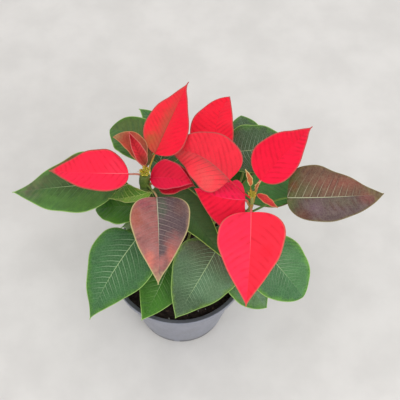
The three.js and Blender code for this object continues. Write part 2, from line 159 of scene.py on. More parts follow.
def blade(name, stem, leaves, base, tip, half, look, **shape):
    """One blade: its name, its stem, the height where its stalk leaves that, its two ends, half
    its width and its look. The shape values are those of its solid: see blade_surface. stalk is
    the stalk's radius, pitch the way along the midrib between two side veins, and slant how far
    forward they run for each step out."""
    usual = dict(widest=0.36, lean=0, point=1.6, skew=0, roll=0, arch=0, bend=0, fold=8, ripple=0.6,
                 stalk=1.2, pitch=5.5, slant=0.6)
    return SimpleNamespace(**{**usual, **shape}, name=name, stem=stem, leaves=leaves, base=base,
                           tip=tip, half=half, look=look)


BLADES = [
    # bracts of the left head
    blade("bract_left_rear", "left", 209, (-19, 40, 216), (9, 120, 214), 19.6, "red_veined", widest=0.24,
          lean=0.03, point=2.2, skew=0.04, roll=14, arch=8, ripple=1.2, stalk=0.9, pitch=4.5,
          slant=0.75),
    blade("bract_left_outer", "left", 211, (-41, 24.5, 209), (-111.5, 36, 196), 19.8, "red_pale_rib",
          widest=0.29, lean=-0.03, point=1.8, skew=0.1, roll=-10, arch=8, bend=-4.3, ripple=0.8,
          stalk=0.9),
    blade("bract_left_inner", "left", 205, (-22.6, 21, 207), (13, 18, 203), 14, "crimson", widest=0.34,
          point=1.75, skew=-0.14, roll=8, arch=5, bend=-0.6, pitch=4),
    blade("bract_left_inner_low", "left", 197, (-16, 24.5, 200), (15, 20.5, 195), 17.3, "crimson_deep",
          widest=0.33, lean=0.04, point=1.85, skew=0.07, roll=-5, arch=4, pitch=4),
    blade("bract_left_front", "left", 203, (-17, 6.5, 200), (-16, -55.5, 160), 25.6, "turning_front",
          widest=0.22, lean=-0.02, skew=-0.06, roll=-9, arch=10, ripple=1.5, stalk=0.9, pitch=4.4,
          slant=0.2),
    # bracts of the right head
    blade("bract_right_rear", "right", 191, (41, 35, 194), (47, 121, 192), 19.7, "red", widest=0.45,
          skew=-0.16, roll=-8, arch=6, bend=-10, ripple=1.5),
    blade("bract_right_inner", "right", 213, (44, 16, 212), (-7, 54.5, 199), 24, "coral", widest=0.22,
          lean=-0.03, point=1.15, skew=0.08, roll=-28, arch=8, bend=7, ripple=1, stalk=0.7, slant=0.75),
    blade("bract_right_outer", "right", 209, (70, 14.5, 214), (118.5, 76, 206), 19.5, "red_clear",
          widest=0.25, point=2.05, skew=-0.13, roll=15, arch=8, bend=-0.5, ripple=1.2),
    blade("bract_right_front", "right", 206, (61, -16, 213), (56.5, -83.5, 178), 27.6, "red_shaded",
          widest=0.26, lean=-0.02, point=1.7, skew=-0.02, roll=2, arch=10, bend=-1, ripple=1.2, pitch=7),
    blade("bract_right_folded", "right", 203, (57, 0, 206.5), (14.5, 15, 200), 28.8, "red_folded",
          widest=0.18, lean=-0.05, point=1.3, skew=-0.02, roll=-7, arch=2, bend=-3.5, fold=-28),
    blade("bract_right_side", "right", 190, (93.5, 8.5, 196), (177, 15, 192), 25.3, "turning_side",
          widest=0.27, lean=-0.06, point=1.45, skew=-0.11, roll=16, arch=8, bend=3.3, ripple=1.5,
          stalk=1, pitch=6, slant=0.32),
    # young bracts round the flowers
    blade("young_bract_left_wide", "left", 210, (-27.8, 26, 217), (-53.2, 46.5, 231), 9.2, "young_wide",
          widest=0.48, lean=-0.05, point=1.9, skew=0.5, arch=2, bend=3, fold=16, stalk=0.6, pitch=3),
    blade("young_bract_left_folded", "left", 213, (-26, 25, 222), (-39, 43, 243), 6.5, "young_deep",
          widest=0.38, point=1.7, arch=3, bend=-2, fold=40, stalk=0.6, pitch=3),
    blade("young_bract_left_dark", "left", 207, (-25.5, 31.5, 209.5), (-43, 59, 221.5), 9, "young_dark",
          widest=0.41, point=1.5, skew=0.2, arch=2, fold=12, stalk=0.6, pitch=3),
    blade("young_bract_right_upright", "right", 215, (61, 4, 222), (56, 11, 236), 2.8, "young_pale",
          point=1.7, arch=1, fold=25, stalk=0.5, pitch=2.5),
    blade("young_bract_right_small", "right", 215, (65, 1, 221), (69, 3, 231), 1.8, "young_pale", arch=1,
          fold=30, stalk=0.5, pitch=2.5),
    blade("young_bract_right_low", "right", 211, (66.5, 0.5, 214), (83.5, -8.5, 208), 3.7, "young_low",
          widest=0.38, lean=-0.05, point=1.5, arch=2, bend=1, fold=15, stalk=0.6, pitch=2.5),
    # green leaves, from the left round the front to the right
    blade("leaf_far_left", "left", 160, (-53.5, 39.5, 172), (-150.5, 36.5, 160), 30.4, "green_flushed",
          widest=0.31, lean=0.05, point=1.95, skew=0.04, roll=-5, arch=8, bend=-3.7, ripple=1.5,
          pitch=6.5),
    blade("leaf_left_upper", "left", 194, (-22.5, 12.2, 199), (-60.1, 16.5, 182), 11, "green_light",
          widest=0.38, lean=-0.17, point=2.6, skew=0.18, roll=7, arch=3, bend=-5, stalk=0.9, pitch=5),
    blade("leaf_left_lower", "left", 163, (-30, 14.5, 171), (-74, 18.5, 159), 20, "green_shade",
          widest=0.39, arch=5, bend=-1, ripple=1),
    blade("leaf_left_low", "left", 148, (-42, 34, 151), (-96, 48, 135), 18, "green", widest=0.35, arch=6,
          ripple=1),
    blade("leaf_left_small", "left", 136, (-28.5, 3.5, 141), (-54, 18, 127), 14.6, "green_olive",
          widest=0.31, point=1.8, roll=9, arch=4, bend=5.5),
    blade("leaf_front_left", "left", 128, (-36, -4.5, 150), (-81, -60, 96), 30.3, "green", widest=0.23,
          point=1.7, skew=-0.05, roll=-9, arch=10, bend=1.2, ripple=1.5),
    blade("leaf_front_middle", "trunk", 106, (-5, -11, 134), (-33, -65, 106), 22, "green_bright",
          widest=0.33, point=1.7, roll=-5, arch=5, bend=-3, ripple=1),
    blade("leaf_front_centre", "right", 140, (33.5, -19, 152), (-2.5, -65.5, 112), 30.5, "green_centre",
          widest=0.21, point=1.4, skew=0.02, roll=-31, arch=9, bend=2, ripple=1.2, pitch=3.7),
    blade("leaf_middle", "left", 158, (-17, 33.5, 178), (42, -33, 158), 18, "green_dark", widest=0.28,
          lean=0.03, point=1.65, skew=0.02, roll=-11, arch=6, ripple=0.5),
    blade("leaf_front_right_low", "right", 126, (51, -12, 138), (80, -52, 104), 23, "green_pale",
          widest=0.38, roll=-4, arch=6, bend=6, ripple=1),
    blade("leaf_front_right", "right", 166, (65, -21.5, 176), (109, -56, 136), 26.3, "green_clear",
          widest=0.39, point=1.25, skew=0.05, roll=18, arch=10, ripple=1.5, pitch=3.8),
    blade("leaf_right_upper", "right", 176, (51.5, 21.5, 178), (125, 40, 175), 21.5, "green_mid",
          widest=0.43, point=1.75, skew=0.3, roll=-4, arch=4, bend=-3),
    # green leaves at the back
    blade("leaf_rear_left_round", "left", 168, (-31, 58, 178), (-64.5, 97.5, 172), 21, "green_round",
          widest=0.46, point=1.3, skew=0.04, roll=-6, arch=5, bend=8, ripple=1),
    blade("leaf_rear_left_tall", "left", 154, (-17, 61, 168), (-39, 127, 166), 20, "green", widest=0.33,
          skew=0.11, roll=9, arch=4, bend=9),
    blade("leaf_rear_centre", "trunk", 98, (18, 50, 130), (30, 124, 108), 22, "green", widest=0.33,
          arch=9, ripple=1.5),
    blade("leaf_rear_left_low", "left", 122, (-6, 50, 138), (-18, 120, 115), 18, "green_dark",
          widest=0.35, arch=7, ripple=1),
    blade("leaf_rear_right_low", "right", 130, (55, 40, 145), (92, 112, 126), 22, "green_shade",
          widest=0.33, arch=6, ripple=1),
    blade("leaf_rear_right_tall", "right", 148, (59.5, 61, 160), (59, 125, 158), 21.3, "green_grey",
          widest=0.37, point=1.35, arch=4, bend=2, ripple=1, pitch=4),
    blade("leaf_rear_right_wide", "right", 138, (42, 72.5, 170), (113.5, 83, 164), 25.5, "green_grey",
          widest=0.33, point=1.4, roll=7, arch=5, bend=1.3, ripple=1.2, pitch=3.7, slant=0.2),
]

# ---------------- looks of the blades
# Colours are 0 to 255, as seen on a screen. left and right are the halves, seen from above with
# the tip ahead.
# tip: the colour of the tip, where it sets in along the blade and where it is full.
# foot: the colour of the base, how far it reaches along the blade and its strength.
# edge: a broad tint along the margin, its width and strength. tint: the same along the midrib.
# vein: the colour of the side veins, and their strength by the midrib and by the margin.
# halves: the strength of veins and tint on the left half and on the right.
# streak: soft broad dark bands along the veins, painted shade of the creases that they lie in.
# midrib: its colour and strength.
# rib_end: between which places along the blade the midrib fades. margin: the thin outline, its
# width and strength; on the red bracts its brown is partly their dull edge, partly painted shadow
# under the edge. under: the colour of the underside. blotch: how far the colour wavers.
# quilt: relief between the veins. stalk_foot: the colour of the stalk by the stem.
# spots: soft patches, each with its colour, the place and the reach along the blade and across it
# in millimetres from the midrib, right half positive, and its strength.
RED = dict(
    left=(240, 22, 46), right=(240, 22, 46), tip=((150, 60, 80), 0.97, 1.1), foot=None, edge=None,
    tint=None, vein=((184, 14, 38), 0.14, 0.08), halves=(1, 1), streak=((192, 10, 36), 0.34),
    # the brown margin: partly the bracts' dull edge, partly painted shadow under the edge
    midrib=((214, 30, 60), 0.1), margin=((182, 86, 80), 1.6, 0.8), under=(226, 92, 92),
    stalk=(216, 96, 104), stalk_foot=(170, 130, 70), blotch=0.06, gloss=0.5, quilt=1, shine=0.12,
    rib_end=(0.4, 0.78), spots=[], slot="red_bract")
GREEN = dict(
    left=(60, 106, 60), right=(60, 106, 60), tip=None, foot=None, edge=((74, 124, 34), 7, 0.75),
    tint=None, vein=((176, 206, 166), 0.64, 0.08), halves=(1, 1), streak=((46, 86, 46), 0.4),
    midrib=((184, 210, 154), 0.85), margin=((166, 204, 110), 0.9, 0.8), under=(128, 156, 110),
    stalk=(150, 168, 92), stalk_foot=(140, 150, 78), blotch=0.14, gloss=0.42, quilt=1, shine=0.2,
    rib_end=(0.4, 0.78), spots=[], slot="green_leaf")
YOUNG = dict(
    RED, left=(192, 76, 54), right=(158, 84, 52), edge=((196, 130, 90), 1.2, 0.4),
    midrib=((190, 120, 80), 0.2), margin=((206, 150, 104), 0.9, 0.6), blotch=0.2, stalk=(168, 112, 60),
    stalk_foot=(176, 150, 64), tip=((150, 112, 76), 0.72, 1), slot="turning_bract")
LOOKS = {
    "red": dict(RED, left=(246, 24, 52), right=(246, 26, 54)),
    "red_clear": dict(
        RED, left=(234, 16, 52), right=(240, 20, 58), midrib=((220, 20, 50), 0),
        streak=((190, 10, 36), 0.4)),
    "red_pale_rib": dict(
        RED, left=(250, 38, 72), right=(250, 38, 68), rib_end=(0.1, 0.5), midrib=((255, 128, 140), 0.6),
        tip=((176, 104, 78), 0.86, 1), margin=((170, 90, 74), 1.8, 0.85), stalk=(196, 124, 112),
        stalk_foot=(190, 130, 110), spots=[((255, 56, 84), (0.1, 6), (0.16, 14), 0.6)]),
    "red_shaded": dict(
        RED, left=(246, 36, 60), right=(248, 38, 73), streak=((202, 14, 40), 0.36),
        midrib=((255, 126, 132), 0.5), rib_end=(0.2, 0.6), margin=((206, 100, 88), 1.8, 0.85), shine=0.2,
        spots=[((238, 20, 46), (0.42, -13), (0.09, 9), 0.6)]),
    "red_folded": dict(
        RED, left=(236, 18, 54), right=(255, 22, 78), midrib=((246, 100, 130), 0.45), rib_end=(0.2, 0.6),
        streak=((180, 10, 34), 0.48)),
    "red_veined": dict(
        RED, left=(236, 40, 56), right=(238, 22, 52), tint=((170, 78, 58), 8, 0.85),
        vein=((164, 84, 54), 0.5, 0.08), halves=(1, 0.12), midrib=((150, 70, 52), 0.75),
        tip=((130, 60, 60), 0.96, 1), stalk=(176, 116, 62), stalk_foot=(170, 150, 56),
        spots=[((170, 92, 52), (0.07, -9), (0.16, 10), 0.8),
               ((186, 76, 56), (0.36, -5), (0.2, 5), 0.4)]),
    "coral": dict(
        RED, left=(242, 52, 66), right=(242, 42, 62), tint=((186, 66, 66), 7, 0.75),
        vein=((138, 66, 62), 0.6, 0.04), halves=(1, 0.35), midrib=((150, 92, 84), 0.6),
        stalk=(226, 46, 66), stalk_foot=(206, 36, 52), shine=0.16,
        spots=[((236, 82, 82), (0.2, -14), (0.3, 13), 0.8), ((226, 80, 78), (0.8, -3), (0.25, 8), 0.7)]),
    "crimson": dict(
        RED, left=(206, 20, 52), right=(216, 20, 60), margin=((176, 84, 92), 1.4, 0.6),
        midrib=((220, 60, 84), 0.3), rib_end=(0.2, 0.6), streak=((156, 10, 34), 0.42),
        stalk=(190, 40, 50), stalk_foot=(150, 70, 44)),
    # a darker copy of the crimson: painted shade, for the bract that lies in shadow under the others
    "crimson_deep": dict(RED, left=(172, 16, 36), right=(186, 18, 42), stalk=(130, 60, 44)),
    "turning_front": dict(
        RED, left=(90, 73, 76), right=(154, 96, 92), tip=((182, 146, 118), 0.78, 0.96),
        edge=((152, 118, 96), 5, 0.5), vein=((190, 172, 162), 0.5, 0.16), halves=(1, 0.45),
        streak=((84, 66, 66), 0.3), midrib=((182, 186, 158), 0.8), rib_end=(0.3, 0.72),
        margin=((196, 184, 130), 1.4, 0.9), under=(150, 130, 104), stalk=(196, 150, 118),
        stalk_foot=(100, 112, 52), blotch=0.18, quilt=0.8,
        spots=[((150, 66, 82), (0.07, 12), (0.1, 9), 0.6), ((168, 92, 74), (0.24, 20), (0.2, 9), 0.7),
               ((84, 94, 78), (0.1, -4), (0.2, 7), 0.8), ((112, 78, 70), (0.14, -19), (0.12, 8), 0.6),
               ((156, 98, 94), (0.52, -13), (0.16, 10), 0.85),
               ((156, 112, 110), (0.6, 6), (0.14, 8), 0.6),
               ((190, 104, 92), (0.66, -10), (0.16, 7), 0.85),
               ((210, 118, 102), (0.71, 8), (0.18, 7), 0.85),
               ((184, 112, 106), (0.74, -2), (0.13, 6), 0.8)], slot="turning_bract"),
    "turning_side": dict(
        RED, left=(108, 79, 64), right=(100, 82, 82), tip=((112, 98, 68), 0.8, 0.93),
        foot=((82, 96, 48), 0.2, 0.85), edge=((96, 84, 56), 4, 0.5), vein=((190, 188, 156), 0.5, 0.08),
        halves=(1, 0.16), streak=((84, 54, 50), 0.6), midrib=((196, 204, 168), 0.85), rib_end=(0.5, 0.8),
        margin=((140, 128, 84), 0.9, 0.7), under=(140, 130, 96), stalk=(96, 130, 60),
        stalk_foot=(90, 124, 56), blotch=0.2, quilt=0.8,
        spots=[((142, 76, 68), (0.56, -12), (0.42, 9), 0.5),
               ((104, 66, 54), (0.15, 17), (0.12, 9), 0.85), ((90, 96, 62), (0.16, -6), (0.2, 9), 0.6),
               ((112, 88, 98), (0.27, 10), (0.1, 9), 0.6), ((106, 98, 78), (0.52, 5), (0.22, 7), 0.55),
               ((136, 78, 70), (0.8, 3), (0.13, 8), 0.65), ((122, 60, 44), (0.06, -10), (0.06, 7), 0.6)],
        slot="turning_bract"),
    "young_wide": dict(YOUNG, left=(182, 74, 56), right=(164, 72, 54), foot=((92, 72, 44), 0.7, 0.8)),
    "young_deep": dict(
        YOUNG, left=(210, 50, 60), right=(196, 46, 54), edge=((200, 90, 84), 0.8, 0.5),
        midrib=((150, 24, 40), 0.6), streak=((140, 20, 40), 0.4), margin=((204, 120, 108), 0.8, 0.7),
        tip=((158, 24, 34), 0.5, 0.95), foot=((132, 66, 48), 0.5, 1)),
    "young_low": dict(
        YOUNG, left=(196, 62, 56), right=(190, 54, 50), edge=((206, 130, 90), 0.7, 0.6),
        midrib=((150, 24, 40), 0.3)),
    "young_dark": dict(
        YOUNG, left=(128, 84, 50), right=(92, 82, 46), foot=((92, 84, 44), 0.6, 0.7),
        margin=((160, 110, 70), 0.9, 0.5)),
    "young_pale": dict(
        YOUNG, left=(182, 104, 60), right=(192, 110, 66), edge=((200, 176, 110), 0.8, 0.8),
        margin=((206, 190, 128), 0.9, 0.9)),
    "green": GREEN,
    "green_clear": dict(GREEN, left=(76, 124, 74), right=(66, 112, 68), edge=((92, 148, 40), 6, 0.7)),
    "green_mid": dict(
        GREEN, left=(72, 132, 60), right=(70, 128, 60), edge=((74, 132, 44), 6, 0.6),
        vein=((120, 160, 110), 0.2, 0.04), midrib=((130, 164, 110), 0.4),
        margin=((150, 92, 66), 0.9, 0.8)),
    "green_pale": dict(GREEN, left=(102, 132, 98), right=(94, 128, 82)),
    "green_olive": dict(GREEN, left=(104, 134, 60), right=(96, 126, 56)),
    "green_shade": dict(
        GREEN, left=(64, 112, 38), right=(64, 110, 38), vein=((120, 160, 100), 0.22, 0.05),
        midrib=((130, 164, 100), 0.35)),
    "green_bright": dict(
        GREEN, left=(60, 114, 32), right=(54, 104, 24), vein=((150, 190, 110), 0.5, 0.08)),
    "green_light": dict(
        GREEN, left=(110, 152, 52), right=(72, 118, 36), edge=((92, 140, 40), 4, 0.5),
        vein=((190, 206, 112), 0.75, 0.4), streak=((58, 104, 30), 0.5), midrib=((180, 196, 110), 0.6),
        margin=((178, 192, 112), 0.9, 0.8), spots=[((142, 84, 48), (0.12, 7), (0.2, 4), 0.85)]),
    "green_round": dict(
        GREEN, left=(74, 112, 54), right=(86, 108, 52), vein=((120, 150, 110), 0.3, 0.04)),
    "green_grey": dict(
        GREEN, left=(70, 96, 62), right=(66, 92, 58), vein=((190, 214, 186), 0.7, 0.12),
        foot=((100, 84, 74), 0.3, 0.6)),
    "green_centre": dict(
        GREEN, left=(90, 124, 90), right=(84, 114, 80), tip=((66, 90, 62), 0.46, 0.7),
        foot=((96, 80, 68), 0.34, 0.75), edge=((96, 128, 46), 5, 0.8),
        spots=[((74, 98, 70), (0.9, -2), (0.25, 14), 0.6),
               ((92, 122, 84), (0.4, -16), (0.25, 12), 0.5)]),
    "green_dark": dict(
        GREEN, left=(76, 108, 62), right=(74, 110, 58), edge=((54, 96, 34), 8, 0.7),
        vein=((100, 136, 80), 0.3, 0.08), midrib=((110, 140, 80), 0.3),
        margin=((176, 206, 96), 1.0, 0.95)),
    "green_flushed": dict(
        GREEN, left=(76, 116, 52), right=(74, 96, 54), tip=((98, 98, 76), 0.62, 0.9),
        edge=((84, 130, 58), 9, 0.8), vein=((124, 164, 104), 0.3, 0.1),
        spots=[((128, 84, 52), (0.42, 24), (0.4, 7), 0.9), ((96, 98, 66), (0.78, 6), (0.2, 9), 0.6),
               ((60, 86, 42), (0.42, -2), (0.42, 10), 0.75)]),
}


# ---------------- small tools
def unit(vectors):
    return vectors / np.linalg.norm(vectors, axis=-1, keepdims=True)


def linear(colour):
    """A 0 to 255 screen colour as the linear colour that a shader takes."""
    share = np.array(colour) / 255
    low, high = share / 12.92, ((share + 0.055) / 1.055) ** 2.4
    return (*np.where(share <= 0.04045, low, high), 1)


def facing(angle):
    """The level direction at an angle from +X."""
    return np.array([math.cos(angle), math.sin(angle), 0])


def mesh_of(name, points, faces):
    mesh = bpy.data.meshes.new(name)
    mesh.from_pydata((np.asarray(points) * MM).tolist(), [], faces)
    return mesh


def shown(name, data):
    """A new object in the scene."""
    made = bpy.data.objects.new(name, data)
    bpy.context.scene.collection.objects.link(made)
    return made


def write_values(mesh, label, vectors):
    layer = mesh.attributes.new(label, "FLOAT_VECTOR", "POINT")
    layer.data.foreach_set("vector", vectors.astype(np.float32).ravel())


class Body:
    """Collects points, faces, materials and per-point values, and makes one mesh piece of them."""

    def __init__(self):
        self.points, self.faces, self.paint, self.values = [], [], [], {}
        self.count = 0

    def add(self, points, faces, paint=0, **values):
        points = np.asarray(points, float).reshape(-1, 3)
        self.points.append(points)
        self.faces += [[self.count + corner for corner in face] for face in faces]
        self.paint += [paint] * len(faces)
        for label, value in values.items():
            self.values.setdefault(label, []).append(np.broadcast_to(value, (len(points), 3)))
        self.count += len(points)

    def piece(self, name, materials, slot, *nodes):
        mesh = mesh_of(name, np.concatenate(self.points), self.faces)
        mesh.polygons.foreach_set("material_index", self.paint)
        mesh.polygons.foreach_set("use_smooth", [True] * len(self.faces))
        for label, parts in self.values.items():
            write_values(mesh, label, np.concatenate(parts))
        for material in materials:
            mesh.materials.append(material)
        mesh.update()
        piece = shown(name, mesh)
        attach(piece, "root")
        if nodes:
            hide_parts(*nodes)
        return piece


def grid_faces(rows, columns, start=0, flip=False, wrap=False):
    """Quads of a grid of rows x columns cells whose points run row by row."""
    width = columns if wrap else columns + 1
    row, column = np.mgrid[0:rows, 0:columns]
    after = (column + 1) % width
    a, b = row * width + column, row * width + after
    quads = np.stack([a, b, b + width, a + width], -1).reshape(-1, 4) + start
    return (quads[:, ::-1] if flip else quads).tolist()


def ring_faces(rings, sides, flip=False, closed=True):
    """Faces from each ring of points to the next, and over the first and the last ring."""
    faces = grid_faces(rings - 1, sides, flip=flip, wrap=True)
    if closed:
        first = list(range(sides))
        last = [(rings - 1) * sides + corner for corner in first]
        faces += [first, last[::-1]] if flip else [first[::-1], last]
    return faces


def tube(path, radii, sides):
    """Points and faces of a round tube along a path, closed at both ends."""
    path = np.asarray(path, float)
    radii = np.broadcast_to(radii, len(path))
    forward = unit(np.gradient(path, axis=0))
    first = np.cross(forward[0], (0, 0, 1))
    upright = np.linalg.norm(first) < 1e-3
    side = unit(np.cross(forward[0], (1, 0, 0)) if upright else first)
    turn = np.linspace(0, 2 * math.pi, sides, endpoint=False)[:, None]
    rings = []
    for centre, ahead, radius in zip(path, forward, radii):
        side = unit(side - ahead * side.dot(ahead))
        above = np.cross(side, ahead)
        rings.append(centre + radius * (np.cos(turn) * side + np.sin(turn) * above))
    return np.concatenate(rings), ring_faces(len(path), sides, flip=True)


def lathe(profile, sides, closed=False):
    """Points and faces of a profile of (radius, height) pairs, bottom first, turned round Z."""
    profile = np.asarray(profile, float)
    turn = np.linspace(0, 2 * math.pi, sides, endpoint=False)
    rings = np.stack([profile[:, :1] * np.cos(turn), profile[:, :1] * np.sin(turn),
                      np.repeat(profile[:, 1:], sides, axis=1)], -1)
    return rings.reshape(-1, 3), ring_faces(len(profile), sides, closed=closed)


def turned(points, angle):
    """Points turned about Z."""
    x, y, z = points.T
    return np.stack([x * math.cos(angle) - y * math.sin(angle),
                     x * math.sin(angle) + y * math.cos(angle), z], -1)


def rounded(profile, radius, steps=5):
    """A profile with its inner corners turned into arcs."""
    profile = [np.array(point, float) for point in profile]
    made = [profile[0]]
    for before, corner, after in zip(profile, profile[1:], profile[2:]):
        sides = [np.linalg.norm(before - corner), np.linalg.norm(after - corner)]
        reach = min(radius, 0.45 * sides[0], 0.45 * sides[1])
        start = corner + unit(before - corner) * reach
        end = corner + unit(after - corner) * reach
        for share in np.linspace(0, 1, steps):
            bend = 2 * share * (1 - share) * corner
            made.append((1 - share) ** 2 * start + bend + share**2 * end)
    return [*made, profile[-1]]


def curve(points, steps=240):
    """A smooth centripetal curve through points, at even steps of its length."""
    knots = [np.array(point, float) for point in points]
    knots = [2 * knots[0] - knots[1], *knots, 2 * knots[-1] - knots[-2]]
    share = np.linspace(0, 1, 60)[:, None]
    pieces = []
    for p0, p1, p2, p3 in zip(knots, knots[1:], knots[2:], knots[3:]):
        gaps = [math.sqrt(np.linalg.norm(b - a)) for a, b in ((p0, p1), (p1, p2), (p2, p3))]
        start = (p1 - p0) / gaps[0] - (p2 - p0) / (gaps[0] + gaps[1]) + (p2 - p1) / gaps[1]
        end = (p2 - p1) / gaps[1] - (p3 - p1) / (gaps[1] + gaps[2]) + (p3 - p2) / gaps[2]
        start, end = start * gaps[1], end * gaps[1]
        cube = 2 * p1 - 2 * p2 + start + end
        square = -3 * p1 + 3 * p2 - 2 * start - end
        pieces.append(p1 + start * share + square * share**2 + cube * share**3)
    dense = np.concatenate(pieces)
    step = np.linalg.norm(np.diff(dense, axis=0), axis=1)
    dense = dense[np.r_[True, step > 1e-6]]
    length = np.r_[0, np.cumsum(np.linalg.norm(np.diff(dense, axis=0), axis=1))]
    even = np.linspace(0, length[-1], steps)
    return np.stack([np.interp(even, length, dense[:, axis]) for axis in range(3)], -1)


def stem_at(stem, height):
    """A stem's axis, direction and radius at a height."""
    path = curve(STEMS[stem]["points"])
    share = np.interp(height, path[:, 2], np.linspace(0, 1, len(path)))
    place = share * (len(path) - 1)
    low = min(int(place), len(path) - 2)
    step = path[low + 1] - path[low]
    start, end = STEMS[stem]["radius"]
    return path[low] + (place - low) * step, unit(step), start + (end - start) * share


def apply_modifiers(piece):
    """Turns the piece's modifiers into its mesh, and keeps its materials and values."""
    graph = bpy.context.evaluated_depsgraph_get()
    done = bpy.data.meshes.new_from_object(piece.evaluated_get(graph))
    piece.modifiers.clear()
    piece.data = done


# ---------------- materials
class Value:
    """An output of a material's nodes, with short calls for the nodes that follow it."""

    def __init__(self, shade, socket):
        self.shade, self.socket = shade, socket

    def math(self, operation, *others):
        return self.shade.node("Math", self, *others, operation=operation)

    def __add__(self, other):
        return self.math("ADD", other)

    def __mul__(self, other):
        return self.math("MULTIPLY", other)

    def __truediv__(self, other):
        return self.math("DIVIDE", other)

    def __rsub__(self, other):
        return self * -1 + other

    def off_half(self):
        """How far the value is from one half."""
        return self.math("SUBTRACT", 0.5).math("ABSOLUTE")

    def ramp(self, low, high, start=0, end=1):
        """Goes smoothly from start to end as the value goes from low to high. low may be larger."""
        return self.shade.node("MapRange", self, low, high, start, end,
                               interpolation_type="SMOOTHSTEP")

    def waver(self, low, high):
        """Noise, spread from low to high."""
        return self.ramp(0.2, 0.8, low, high)

    def parts(self):
        node = self.shade.node("SeparateXYZ", self).socket.node
        return [Value(self.shade, socket) for socket in node.outputs]

    def mix(self, one, other):
        """One colour at 0, the other at 1."""
        return self.shade.node("Mix", self, *[None] * 5, one, other, output=2, data_type="RGBA")

    def brighter(self, value):
        return self.shade.node("HueSaturation", 0.5, 1, value, 1, self)

    def distance(self, centre, size):
        """The distance from a place in the first two values: 1 at the edge of its size."""
        scale = (1 / size[0], 1 / size[1], 0)
        shift = (-centre[0] / size[0], -centre[1] / size[1], 0)
        scaled = self.shade.node("VectorMath", self, scale, shift, operation="MULTIPLY_ADD")
        return self.shade.node("VectorMath", scaled, output="Value", operation="LENGTH")


class Shade:
    """A material on one Principled shader. colour is what has been painted so far. The places that
    it reads are in metres."""

    def __init__(self, name):
        self.material = bpy.data.materials.new(name)
        self.material.use_nodes = True
        self.tree = self.material.node_tree
        self.place = self.node("TexCoord", output="Object")
        self.colour, self.relief = None, None

    def node(self, kind, *inputs, output=0, **settings):
        made = self.tree.nodes.new("ShaderNode" + kind)
        for name, value in settings.items():
            setattr(made, name, value)
        for socket, value in zip(made.inputs, inputs):
            self.feed(socket, value)
        return Value(self, made.outputs[output])

    def feed(self, socket, value):
        if isinstance(value, Value):
            self.tree.links.new(value.socket, socket)
        elif value is not None:
            socket.default_value = linear(value) if socket.type == "RGBA" else value

    def attribute(self, name):
        return self.node("Attribute", output="Vector", attribute_name=name)

    def noise(self, grain, detail, roughness=0.55, stretch=(1, 1, 1)):
        """Noise from 0 to 1 whose spots are about grain millimetres wide."""
        moved = self.node("Mapping", self.place, None, None, stretch)
        return self.node("TexNoise", moved, None, 1 / (grain * MM), detail, roughness)

    def cells(self, grain):
        return self.node("TexVoronoi", self.place, None, 1 / (grain * MM), feature="DISTANCE_TO_EDGE")

    def paint(self, share, tint):
        """Lays a tint over the colour so far, as strongly as share says."""
        self.colour = share.mix(self.colour, tint)

    def bump(self, height, depth):
        """Adds relief: height from 0 to 1 over depth millimetres."""
        made = self.tree.nodes.new("ShaderNodeBump")
        for name, value in (("Distance", depth * MM), ("Height", height), ("Normal", self.relief)):
            self.feed(made.inputs[name], value)
        self.relief = Value(self, made.outputs[0])

    def finish(self, roughness, specular=0.5):
        surface = self.tree.nodes["Principled BSDF"].inputs
        self.feed(surface["Base Color"], self.colour)
        self.feed(surface["Roughness"], roughness)
        self.feed(surface["Normal"], self.relief)
        surface["Specular IOR Level"].default_value = specular
        return self.material


